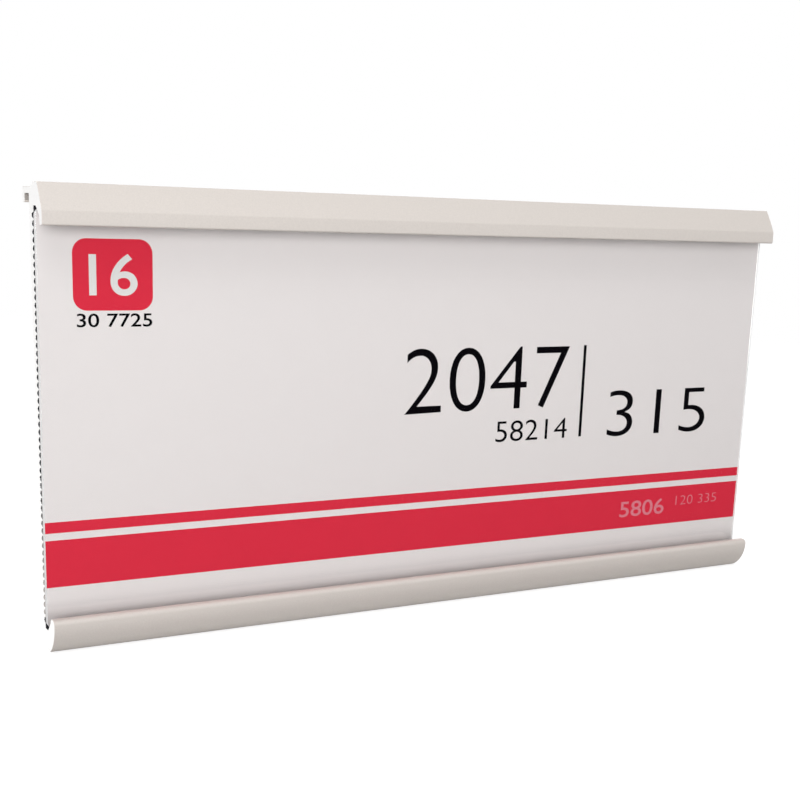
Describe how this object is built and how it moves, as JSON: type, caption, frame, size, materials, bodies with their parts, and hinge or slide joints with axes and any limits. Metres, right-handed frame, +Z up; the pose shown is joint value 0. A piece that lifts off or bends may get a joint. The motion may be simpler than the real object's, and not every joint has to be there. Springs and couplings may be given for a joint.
{
  "type": "cubicle name plate",
  "caption": "Extruded aluminium name plate holder for an office partition, with a hanging hook along its back and a printed card that slides in behind a clear cover.",
  "frame": {"origin": "middle of the holder's flat back face, the face that lies against the partition", "axes": "+X along the plate, to the right as it is read; -Y is the front and +Y points into the partition; +Z is up"},
  "size_m": [0.2, 0.0157, 0.1],
  "materials": {
    "anodised_aluminium": "satin silver anodised",
    "backing_plastic": "matte white sheet",
    "printed_card": "white card printed with crimson stripes",
    "clear_plastic": "clear, glossy"
  },
  "bodies": {
    "holder": {"holder_profile": "anodised_aluminium"},
    "backing": {"backing_sheet": "backing_plastic"},
    "card": {"printed_card": "printed_card"},
    "cover": {"clear_cover": "clear_plastic"}
  },
  "joints": [
    {"name": "backing_slide", "type": "slide", "parent": "holder", "child": "backing", "axis": [1, 0, 0], "range_m": [-0.19, 0.19]},
    {"name": "card_slide", "type": "slide", "parent": "holder", "child": "card", "axis": [1, 0, 0], "range_m": [-0.19, 0.19]},
    {"name": "cover_slide", "type": "slide", "parent": "holder", "child": "cover", "axis": [1, 0, 0], "range_m": [-0.19, 0.19]}
  ]
}
